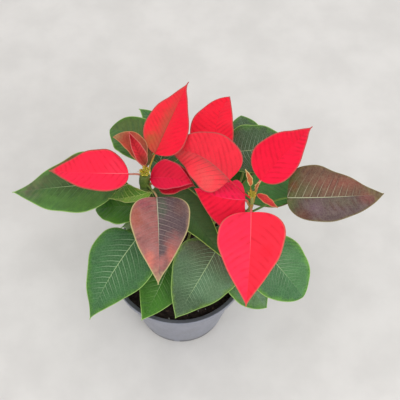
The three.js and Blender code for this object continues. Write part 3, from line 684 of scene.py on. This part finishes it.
def blade_material(name):
    """The finish of a blade and its stalk. It reads what blade_piece writes at each point."""
    look = SimpleNamespace(**LOOKS[name])
    shade = Shade("blade_" + name)
    place = shade.attribute("blade_place")
    t, x, edge = place.parts()
    rib, under, stalk = shade.attribute("blade_part").parts()
    right, off_rib = x.math("GREATER_THAN", 0), x.math("ABSOLUTE")
    reach = off_rib / (off_rib + edge + 0.01)
    half_strength = right.ramp(0, 1, *look.halves)
    blotches, fine = shade.noise(7, 4), shade.noise(1.3, 2)

    # the ground: two halves, then the tints of the ends, the edge, the midrib and the spots
    shade.colour = right.mix(look.left, look.right)
    if look.tip:
        tint, start, full = look.tip
        shade.paint((t + blotches.waver(-0.06, 0.06)).ramp(start, full), tint)
    if look.foot:
        tint, far, strength = look.foot
        shade.paint(t.ramp(far, 0, 0, strength), tint)
    if look.edge:
        tint, width, strength = look.edge
        shade.paint(edge.ramp(blotches.ramp(0.3, 0.7, 0.5, 1.3) * width, 0, 0, strength), tint)
    if look.tint:
        tint, width, strength = look.tint
        fading = t.ramp(0.3, 0.8, strength, 0.05) * half_strength
        shade.paint(off_rib.ramp(width, 0) * fading, tint)
    for tint, centre, size, strength in look.spots:
        away = place.distance(centre, size) + blotches.waver(-0.3, 0.3)
        shade.paint(away.ramp(1.1, 0.1, 0, strength), tint)
    broad = blotches.waver(1 - look.blotch, 1 + look.blotch)
    slight = fine.waver(1 - look.blotch / 2, 1 + look.blotch / 2)
    shade.colour = shade.colour.brighter(broad * slight)

    # the side veins, alternate on the two halves, with painted shade in soft bands along the creases
    # that they lie in, and a fine net
    off_middle = (rib + right * 0.5).math("FRACT").off_half()
    gap = 0.5 - off_middle
    tint, strength = look.streak
    shade.paint(gap.ramp(0.38, 0.05) * shade.noise(11, 2).ramp(0.42, 0.66, 0, strength), tint)
    slender = reach.ramp(0, 0.9, 0.085, 0.035)
    veins = gap.ramp(slender, 0.012)
    tint, near, far = look.vein
    strength = reach.ramp(0.15, 0.9, near, far) * t.ramp(0.45, 0.85, 1, 0.1) * half_strength
    shade.paint(veins * strength, tint)
    shade.paint(off_middle.ramp(slender, 0.012, 0, 0.12) * strength, tint)
    shade.paint(shade.cells(2.4).ramp(0.12, 0, 0, 0.16 * near), tint)

    # the midrib and the outline
    tint, strength = look.midrib
    rib_width = t.ramp(0, 0.7, 0.55, 0.2)
    fading = t.ramp(*look.rib_end, strength, strength * 0.1)
    shade.paint(off_rib.ramp(rib_width, rib_width * 0.3) * fading, tint)
    tint, width, strength = look.margin
    shade.paint(edge.ramp(width, 0.3, 0, strength), tint)

    # the underside and the stalk
    below = (veins * 0.5).mix(look.under, look.midrib[0])
    shade.paint(under, below.brighter(blotches.waver(0.92, 1.08)))
    by_stem = stalk.ramp(1, 1.7).mix(look.stalk, look.stalk_foot)
    shade.paint(stalk.ramp(0.4, 0.6), by_stem.brighter(fine.waver(0.9, 1.1)))

    shade.bump(gap.ramp(slender, 0, 1, 0), 0.12 * look.quilt)
    shade.bump(fine, 0.08)
    return shade.finish(blotches.waver(look.gloss - 0.06, look.gloss + 0.06), look.shine)


def pot_material():
    """Dark grey plastic. The outer wall is painted lighter, as painted sheen of the bright floor with
    some dust; faint upright flow marks, and painted shadow at the foot.
    """
    shade = Shade("pot_plastic")
    outside = shade.attribute("pot_side").parts()[0]
    cloud = shade.noise(16, 4)
    drawn = shade.noise(2.2, 3, stretch=(1, 1, 0.12))
    # the inside keeps the plastic's dark grey; the outer wall gets a lighter grey, painted sheen of the
    # bright floor together with dust
    shade.colour = outside.mix((44, 45, 48), (134, 137, 151))
    # painted contact shadow along the foot, broken at each notch
    x, y, height = shade.place.parts()
    sector = 2 * math.pi / DRAIN_HOLES
    turn = y.math("ARCTAN2", x) + (2 * math.pi - math.radians(DRAIN_TURN))
    notch = FOOT_NOTCH[1] / 2 / POT_FOOT_RADIUS / sector
    off_notch = (turn / sector).math("FRACT").off_half().ramp(0.7 * notch, 1.2 * notch)
    foot_shadow = height.ramp(FOOT_SHADOW[0] * MM, FOOT_SHADOW[1] * MM, 0, 0.75) * off_notch
    shade.paint(foot_shadow, (56, 57, 61))
    # dust
    shade.paint(cloud.ramp(0.45, 0.75, 0, 0.35) * outside, (140, 140, 140))
    shade.colour = shade.colour.brighter(drawn.ramp(0.25, 0.75, 0.94, 1.06))
    shade.bump(shade.noise(0.9, 2), 0.05)
    shade.bump(drawn, 0.06)
    return shade.finish(cloud.ramp(0.3, 0.7, 0.36, 0.46), 0.6)


def soil_material():
    """Dark peat with paler fibres."""
    shade = Shade("peat")
    lumps, fibres = shade.noise(5, 5, 0.65), shade.noise(0.9, 4, 0.7)
    shade.colour = lumps.ramp(0.35, 0.65).mix((34, 26, 25), (60, 49, 45))
    shade.paint(fibres.ramp(0.6, 0.72, 0, 0.6), (84, 68, 58))
    shade.bump(lumps, 0.9)
    shade.bump(fibres, 0.5)
    return shade.finish(0.95, 0.2)


def stem_material():
    """Green bark, pale up the right branch, woody and brown by the soil, with pale pores."""
    shade = Shade("green_stem")
    x, _, height = shade.place.parts()
    cloud, strands = shade.noise(6, 4), shade.noise(1.6, 3, stretch=(1, 1, 0.15))
    pores = shade.noise(1.1, 1, stretch=(1, 1, 0.5)).ramp(0.66, 0.72, 0, 0.5)
    shade.colour = cloud.ramp(0.3, 0.7).mix((62, 84, 30), (92, 108, 44))
    shade.paint(height.ramp(0.17, 0.2) * x.ramp(0.03, 0.05, 0, 0.75), (156, 158, 84))
    shade.paint((height + cloud.waver(-0.02, 0.02)).ramp(0.14, 0.09), (112, 92, 66))
    shade.paint(pores, (176, 160, 120))
    shade.colour = shade.colour.brighter(strands.ramp(0.25, 0.75, 0.88, 1.12))
    shade.bump(strands, 0.35)
    shade.bump(pores, 0.15)
    return shade.finish(0.5, 0.35)


def mottled_material(name, dark, light, grain, roughness, relief):
    """Two colours in soft spots, with relief as fine as the spots."""
    shade = Shade(name)
    cloud = shade.noise(grain, 4)
    shade.colour = cloud.ramp(0.3, 0.7).mix(dark, light)
    shade.bump(cloud, relief)
    return shade.finish(cloud.ramp(0.3, 0.7, roughness, roughness + 0.12))


# ---------------- pot and soil
def wall_radius(height):
    return POT_FOOT_RADIUS + (POT_RIM_RADIUS - LIP_WIDTH - POT_FOOT_RADIUS) * height / POT_HEIGHT


def soil_radius(height):
    return wall_radius(height) - POT_WALL - WALL_AIR


def pot_piece():
    """The turned pot, cut by its drain holes and foot notches."""
    lip_foot = POT_HEIGHT - LIP_DEPTH
    outside = rounded([
        (0, 0), (POT_FOOT_RADIUS - 1, 0), (POT_FOOT_RADIUS, 1), (wall_radius(lip_foot), lip_foot),
        (POT_RIM_RADIUS - 0.8, lip_foot + LIP_SLOPE), (POT_RIM_RADIUS, POT_HEIGHT),
        (POT_RIM_RADIUS - 1, POT_HEIGHT),
    ], OUTER_ROUNDING)
    inside = rounded([
        (POT_RIM_RADIUS - 1.2, POT_HEIGHT), (wall_radius(POT_HEIGHT) - POT_WALL, POT_HEIGHT),
        (wall_radius(POT_FLOOR) - POT_WALL, POT_FLOOR), (0, POT_FLOOR),
    ], INNER_ROUNDING)
    profile = [(PINHOLE, 0), *outside[1:], *inside[:-1], (PINHOLE, POT_FLOOR)]
    body = Body()
    body.add(*lathe(profile, POT_SIDES, closed=True))
    pot = body.piece("pot_moulded", [pot_material()], "pot_plastic", "pot")
    box_sides = [[3, 2, 1, 0], [4, 5, 6, 7], [0, 1, 5, 4], [1, 2, 6, 5], [2, 3, 7, 6], [3, 0, 4, 7]]
    long, wide, deep = FOOT_NOTCH
    for index in range(DRAIN_HOLES):
        angle = (index + 0.5) * 2 * math.pi / DRAIN_HOLES + math.radians(DRAIN_TURN)
        outward = facing(angle)
        across = np.array([-outward[1], outward[0], 0])
        axis = [DRAIN_RING_RADIUS * outward + (0, 0, z) for z in (-5, 5)]
        corners = [(POT_FOOT_RADIUS + x * long / 2) * outward + y * wide / 2 * across + (0, 0, z * deep)
                   for z in (-1, 1) for x, y in SQUARE]
        for points, faces in (tube(axis, DRAIN_HOLE_RADIUS, 24), (corners, box_sides)):
            tool = shown("cutter", mesh_of("cutter", points, faces))
            cut = pot.modifiers.new("cut", "BOOLEAN")
            cut.operation, cut.solver, cut.object = "DIFFERENCE", "EXACT", tool
            apply_modifiers(pot)
            bpy.data.objects.remove(tool)
    x, y, height = np.array([vertex.co for vertex in pot.data.vertices]).T / MM
    radius = np.hypot(x, y)
    # the share of painted sheen and dust: 1 on the outside, a little on the lip's top and 0 inside
    below_lip_top = (height < POT_HEIGHT - 0.5) | (radius > POT_RIM_RADIUS - 0.5)
    outer = (radius > wall_radius(height) - POT_WALL / 2) & below_lip_top
    side = np.where(outer, 1, 0.25 * (height > POT_HEIGHT - 0.8))
    write_values(pot.data, "pot_side", np.stack([side, side, side], -1))


def soil_height(x, y):
    """The root ball's top: its crown and broad clods, then the crumbs and grains of the peat."""
    inner = soil_radius(SOIL_TOP)
    radius = math.hypot(x, y)
    waves = math.sin(0.31 * x + 0.7) * math.cos(0.27 * y) + 0.7 * math.sin(0.53 * y + 0.22 * x + 2)
    clods = SOIL_CLOD * waves * min(1, (inner - radius) / CLOD_FADE)
    crumbs = sum(rise * noise.noise(Vector((x, y, layer)) / width) for rise, width, layer in CRUMBS)
    grains = GRAINS[0] * (0.5 - noise.voronoi(Vector((x, y, 0)) / GRAINS[1])[0][0])
    return SOIL_TOP + SOIL_CROWN * (1 - radius / inner) + clods + crumbs + grains


def soil_piece():
    inner = soil_radius(SOIL_TOP)
    bottom = POT_FLOOR + FLOOR_AIR
    rings = [(PINHOLE, bottom), (soil_radius(bottom), bottom), (inner, SOIL_TOP - 1)]
    top = 3 * SOIL_SIDES  # the first point of the rings above
    rings += [(inner * (1 - step / SOIL_RINGS), 0) for step in range(SOIL_RINGS)] + [(0.3, 0)]
    points, faces = lathe(rings, SOIL_SIDES, closed=True)
    for point in points[top:]:
        point[2] = soil_height(point[0], point[1])
    body = Body()
    body.add(points, faces)
    body.piece("soil_peat", [soil_material()], "peat", "soil")


def pebble(centre, size, rough, seed):
    """A small irregular grain: a dented ball."""
    points = []
    for lift in np.linspace(-math.pi / 2, math.pi / 2, PEBBLE_ROWS + 1):
        for angle in np.linspace(0, 2 * math.pi, PEBBLE_SIDES, endpoint=False):
            level = math.cos(lift)
            way = Vector((math.cos(angle) * level, math.sin(angle) * level, math.sin(lift)))
            dent = 1 + rough * noise.noise(way * 1.6 + Vector((seed, 0, 0)))
            points.append((way.x * dent, way.y * dent, way.z * dent))
    faces = grid_faces(PEBBLE_ROWS, PEBBLE_SIDES, wrap=True)
    return turned(np.array(points) * size, seed * 1.7) + centre, faces


def soil_bits():
    """Perlite grains and bark chips that lie half sunk in the peat."""
    chance = np.random.default_rng(5)
    inner = soil_radius(SOIL_TOP) - 2
    body = Body()
    for index in range(PERLITE.count + BARK.count):
        paint = int(index >= PERLITE.count)
        kind = (PERLITE, BARK)[paint]
        radius = inner * math.sqrt(chance.random())
        x, y, _ = radius * facing(2 * math.pi * chance.random())
        width = chance.uniform(*kind.width)
        size = (width * chance.uniform(*kind.long), width, width * kind.high)
        centre = (x, y, soil_height(x, y) + 0.25 * width)
        body.add(*pebble(centre, size, 0.7, index * 0.37), paint)
    perlite = mottled_material("perlite", (116, 114, 112), (170, 168, 166), 1.2, 0.85, 0.3)
    bark = mottled_material("bark_chips", (54, 42, 34), (98, 76, 60), 1.6, 0.8, 0.4)
    body.piece("soil_bits", [perlite, bark], "peat")


# ---------------- stem and flowers
def stem_piece():
    """The forked stem: tubes swollen where stalks leave, melted into one skin at the fork."""
    body = Body()
    swelling, length, drop = JOINT
    for name, stem in STEMS.items():
        path = curve(stem["points"], STEM_STEPS)
        joints = [np.exp(-(((path[:, 2] - carried.leaves + drop) / length) ** 2))
                  for carried in BLADES if carried.stem == name]
        radii = np.linspace(*stem["radius"], len(path)) * (1 + swelling * np.max(joints, axis=0))
        body.add(*tube(path, radii, STEM_SIDES))
    stem = body.piece("stem_bark", [stem_material()], "green_stem", "stem")
    melt = stem.modifiers.new("melt", "REMESH")
    melt.mode, melt.voxel_size, melt.use_smooth_shade = "VOXEL", STEM_VOXEL * MM, True
    ease = stem.modifiers.new("ease", "SMOOTH")
    ease.factor, ease.iterations = STEM_EASE
    apply_modifiers(stem)


def leaned(points, lean, reach, lift, angle):
    """Points leant outward, moved out and up, and turned to their place round the head."""
    x, y, z = points.T
    moved = np.stack([x * math.cos(lean) + z * math.sin(lean) + reach, y,
                      z * math.cos(lean) - x * math.sin(lean) + lift], -1)
    return turned(moved, angle)


def cyathia_piece(name, stem, materials, seed):
    """The true flowers of one head: green cups with a fringed mouth, a yellow gland and stamens."""
    chance = np.random.default_rng(seed)
    head = np.array(STEMS[stem]["points"][-1]) + (0, 0, HEAD_AIR)
    body = Body()

    def add(made, paint, **leaning):
        points, faces = made
        body.add(leaned(points, **leaning) * HEADS[stem] + head, faces, paint)

    points, faces = lathe(rounded(DOME, 1.2), 32)
    body.add(points * HEADS[stem] + head, faces)
    for index in range(CUP_COUNT):
        outer = index >= INNER_CUPS
        size = chance.uniform(*CUP_SIZES)
        leaning = dict(OUTER_CUP if outer else INNER_CUP, angle=index * CUP_TURN)
        profile = [(radius * CUP_RADIUS * size, height * CUP_HEIGHT * size) for radius, height in CUP]
        points, faces = lathe(rounded(profile, 0.3, 3), 18)
        bearing = np.arctan2(points[:, 1], points[:, 0])
        fringe = 1 + FRINGE[1] * np.cos(FRINGE[0] * bearing) * (points[:, 2] > 2)
        points[:, :2] *= fringe[:, None]
        add((points, faces), 0, **leaning)
        if outer:
            # the gland: a plump yellow lip on the outer shoulder of the cup
            turn = np.linspace(-GLAND_SPREAD, GLAND_SPREAD, GLAND_STEPS)
            arc = np.stack([np.cos(turn), np.sin(turn), np.cos(turn)], -1)
            lip = np.array(GLAND_ARC) * arc + GLAND_PLACE
            ends = np.linspace(GLAND_TAPER, math.pi - GLAND_TAPER, GLAND_STEPS)
            add(tube(lip, GLAND_RADIUS * np.sin(ends), 10), 1, **leaning)
        for _ in range(CUP_STAMENS):
            away, outward = chance.uniform(*STAMEN_SPREAD), facing(chance.uniform(0, 2 * math.pi))
            foot = away * 0.5 * outward + (0, 0, 1.6)
            end = away * 1.9 * outward + (0, 0, chance.uniform(*STAMEN_TOPS) * size)
            add(tube([foot, (foot + end) / 2 + (0, 0, 0.2), end], STAMEN_RADIUS, 6), 2, **leaning)
            add(pebble(end, ANTHER, 0.4, index + away), 3, **leaning)
    for _ in range(FILAMENT_COUNT):
        # the spent stamens: thin yellow threads that fan out over the cups
        long = chance.uniform(*FILAMENT_LENGTHS)
        leaning = dict(lean=chance.uniform(*FILAMENT_LEANS), reach=0.8, lift=HEAD_RADIUS,
                       angle=chance.uniform(0, 2 * math.pi))
        thread = np.array([(0, 0, 0), (0.09 * long, 0, 0.5 * long), (0, 0, long)])
        radii = np.linspace(*FILAMENT_RADII, FILAMENT_STEPS)
        add(tube(curve(thread, FILAMENT_STEPS), radii, 7), 1, **leaning)
        add(pebble(thread[-1], FILAMENT_END, 0.4, long), 2, **leaning)
    body.piece(name + "_cups", materials, "flower", name)


# ---------------- blades
def blade_surface(shape, t, s):
    """The middle surface of a blade, and the half width there. t runs from base to tip, s from the
    left edge, -1, to the right edge, 1. widest is where the blade is widest, lean how much nearer
    the base that is on the right half, point how drawn out the tip is, skew the extra width of the
    right half, roll how far that half hangs, arch and bend the bow of the midrib, fold how far the
    halves rise from it and ripple the waves of the edge."""
    base = np.array(shape.base, float)
    span = np.array(shape.tip, float) - base
    along = unit(span)
    level = unit(np.array([0, 0, 1]) - along * along[2])
    roll = math.radians(shape.roll)
    up = level * math.cos(roll) + np.cross(along, level) * math.sin(roll)
    side = np.cross(along, up)
    t, s = t[..., None], s[..., None]
    bow, slope = 4 * t * (1 - t), 4 * (1 - 2 * t)
    centre = base + span * t + up * shape.arch * bow + side * shape.bend * bow
    tangent = unit(span + up * shape.arch * slope + side * shape.bend * slope)
    out = unit(up - tangent * (tangent @ up)[..., None])
    right = np.cross(tangent, out)
    hand, reach = np.sign(s), np.abs(s)
    phase = shape.base[0] * 0.7 + hand
    fade = np.sin(math.pi * t)
    lobe = 1 + EDGE_WAVE_DEPTH * np.sin(2 * math.pi * EDGE_WAVES * t + phase) * fade
    widest = shape.widest - shape.lean * hand
    place = np.clip(t, 0.0003, 0.996)
    share = ((place / widest) ** (shape.point * widest)
             * ((1 - place) / (1 - widest)) ** (shape.point * (1 - widest)))
    width = np.maximum(shape.half * share * (1 + shape.skew * hand) * lobe, NARROWEST)
    lift = math.radians(shape.fold)
    wave = shape.ripple * np.sin(2 * math.pi * RIPPLES * t + phase) * reach**2 * fade
    rise = reach * width * math.sin(lift) + wave
    return centre + right * s * width * math.cos(lift) + out * rise, width[..., 0]


def grid_normals(points):
    return unit(np.cross(np.gradient(points, axis=1), np.gradient(points, axis=0)))


def stalk_path(shape):
    """From inside the stem's skin, out and over to the blade, then along under its midrib: places,
    radii, and a value that falls from 2 at the stem to 1 at the blade."""
    axis, direction, radius = stem_at(shape.stem, shape.leaves)
    base = np.array(shape.base, float)
    outward = base - axis
    outward = unit(outward - direction * outward.dot(direction))
    start = axis + outward * (radius - STALK_DEPTH)
    run = np.linalg.norm(base - start)
    along = np.linspace(0, 0.96, MIDRIB_STEPS)
    across = np.array([-0.06, 0, 0.06])
    grid, _ = blade_surface(shape, *np.meshgrid(along, across, indexing="ij"))
    below = grid_normals(grid)[:, 1]
    thin = shape.stalk * np.linspace(0.85, 0.16, MIDRIB_STEPS)
    midrib = grid[:, 1] - below * (thin + MIDRIB_GROOVE)[:, None]
    aim = unit(midrib[2] - midrib[0])
    u = np.linspace(0, 1, STALK_STEPS)[:-1, None]
    ahead, behind = start + outward * run * 0.35, midrib[0] - aim * run * 0.3
    stalk = ((1 - u) ** 3 * start + 3 * u * (1 - u) ** 2 * ahead + 3 * u**2 * (1 - u) * behind
             + u**3 * midrib[0])
    flare, reach = STALK_FLARE
    swelling = 1 + flare * np.exp(-((u[:, 0] / reach) ** 2)) - 0.15 * u[:, 0]
    radii = np.r_[shape.stalk * swelling, thin]
    part = np.r_[2 - u[:, 0], np.ones(MIDRIB_STEPS)]
    return np.concatenate([stalk, midrib]), radii, part


def blade_relief(shape, t, s, width, seed):
    """The veins' count at each place, and how far the blade stands off its middle surface."""
    chance = np.random.default_rng(seed)
    look = LOOKS[shape.look]
    length = np.linalg.norm(np.subtract(shape.tip, shape.base))
    x, reach = s * width, np.abs(s)
    off = np.abs(x) / length
    veins = max(5, round(length / shape.pitch))
    wander = 0.12 * np.sin(5.3 * t + 1.9 * np.sign(s) + seed) + 0.03 * np.sin(7 * reach + 4 * t + seed)
    rib = veins * (t - shape.slant * off - VEIN_CURVE * off**2) + wander * np.minimum(1, 4 * reach)
    phase = rib + 0.5 * (s > 0)
    quilt = np.sin(math.pi * phase) ** 2 * np.minimum(1, 5 * reach) * (1 - reach**3)
    size = min(1, shape.half / 20)
    limp = sum(0.5 * np.sin(chance.uniform(3, 8) * t + chance.uniform(2, 4) * s + chance.uniform(0, 6))
               for _ in range(3)) * reach
    quilting = QUILTING * look["quilt"]
    fade = np.sin(math.pi * np.clip(t, 0.02, 0.98)) ** 0.5
    height = size * (quilting * quilt + LIMPNESS * limp) * fade
    height -= MIDRIB_GROOVE * size * np.exp(-((x / MIDRIB_WIDTH) ** 2)) * (1 - t)
    thin = BLADE_THICKNESS * (1 - 0.35 * reach) * (0.6 + 0.4 * size)
    return rib, height, thin


def blade_piece(shape, material, seed):
    """A blade with its stalk: an upper and an under side, the rim between them, and a tube."""
    rows, columns = SMALL_BLADE_GRID if shape.half <= SMALL_BLADE else BLADE_GRID
    even = np.linspace(0, 1, rows + 1)
    t = 0.25 * even + 0.75 * (0.5 - 0.5 * np.cos(math.pi * even))
    across = np.linspace(-1, 1, columns + 1)
    s = np.sign(across) * np.abs(across) ** 1.15
    t, s = np.meshgrid(t, s, indexing="ij")
    middle, width = blade_surface(shape, t, s)
    normal = grid_normals(middle)
    rib, height, thin = blade_relief(shape, t, s, width, seed)
    place = np.stack([t, s * width, width * (1 - np.abs(s))], -1).reshape(-1, 3)
    body = Body()
    for under in (0, 1):
        shift = (height + thin * (0.5 - under))[..., None]
        part = np.stack([rib, np.full_like(t, under), np.zeros_like(t)], -1).reshape(-1, 3)
        body.add(middle + normal * shift, [], blade_place=place, blade_part=part)
    index = np.arange(t.size).reshape(t.shape)
    rim = np.r_[index[0, :-1], index[:-1, -1], index[-1, :0:-1], index[:0:-1, 0]].tolist()
    wall = [[a, a + t.size, b + t.size, b] for a, b in zip(rim, rim[1:] + rim[:1])]
    faces = grid_faces(rows, columns) + grid_faces(rows, columns, t.size, flip=True) + wall
    body.faces, body.paint = faces, [0] * len(faces)
    path, radii, part = stalk_path(shape)
    part = np.repeat(part, STALK_SIDES)
    part = np.stack([np.full_like(part, 0.5), np.zeros_like(part), part], -1)
    points, faces = tube(path, radii, STALK_SIDES)
    body.add(points, faces, blade_place=(0.0, 9.0, 9.0), blade_part=part)
    body.piece(shape.name + "_blade", [material], LOOKS[shape.look]["slot"], shape.name)


# ---------------- the object
pot_piece()
soil_piece()
soil_bits()
stem_piece()
flower_materials = [
    mottled_material("cup_green", (130, 140, 34), (196, 184, 62), 1.5, 0.45, 0.1),
    mottled_material("gland_yellow", (190, 172, 38), (220, 200, 62), 1.2, 0.3, 0.05),
    mottled_material("stamen_red", (150, 60, 44), (190, 90, 60), 0.8, 0.5, 0.05),
    mottled_material("anther_yellow", (220, 180, 60), (244, 220, 110), 0.6, 0.7, 0.1),
]
cyathia_piece("cyathia_left", "left", flower_materials, 11)
cyathia_piece("cyathia_right", "right", flower_materials, 12)
blade_materials = {look: blade_material(look) for look in sorted(LOOKS)}
for order, shape in enumerate(BLADES):
    blade_piece(shape, blade_materials[shape.look], order + 1)


# ---------------- floor, light and camera
def floor():
    corners = [(x * FLOOR_REACH, y * FLOOR_REACH, 0) for x, y in SQUARE]
    mesh = mesh_of("floor", corners, [(0, 1, 2, 3)])
    shade = Shade("pale_floor")
    shade.colour = shade.noise(60, 4).ramp(0.3, 0.7).mix((212, 210, 207), (221, 219, 216))
    mesh.materials.append(shade.finish(0.8, 0.2))
    shown("floor", mesh)


def softbox(name, place, target, size, power, colour):
    lamp = bpy.data.lights.new(name, "AREA")
    lamp.shape, lamp.size, lamp.energy, lamp.color = "DISK", size, power, colour
    made = shown(name, lamp)
    made.location = place
    made.rotation_euler = (Vector(target) - Vector(place)).to_track_quat("-Z", "Y").to_euler()


floor()
softbox("key", (0.7, -0.9, 1.2), (0.2, -0.15, 0), 0.9, 6.6, (0.97, 0.98, 1))
softbox("fill", (-0.6, -0.5, 1.8), (0, 0, 0.1), 1.8, 3, (1, 0.98, 0.95))
world = bpy.data.worlds.new("room_light")
world.use_nodes = True
background = world.node_tree.nodes["Background"].inputs
background["Color"].default_value = (1, 0.99, 0.985, 1)
background["Strength"].default_value = 0.92
bpy.context.scene.world = world
bpy.context.scene.view_settings.view_transform = "Standard"

camera = shown("camera", bpy.data.cameras.new("camera"))
camera.data.lens, camera.data.sensor_width = 72, 36
camera.location = (0.0194, -0.3479, 0.7739)
camera.rotation_euler = (math.radians(31.5), 0, 0)
bpy.context.scene.camera = camera
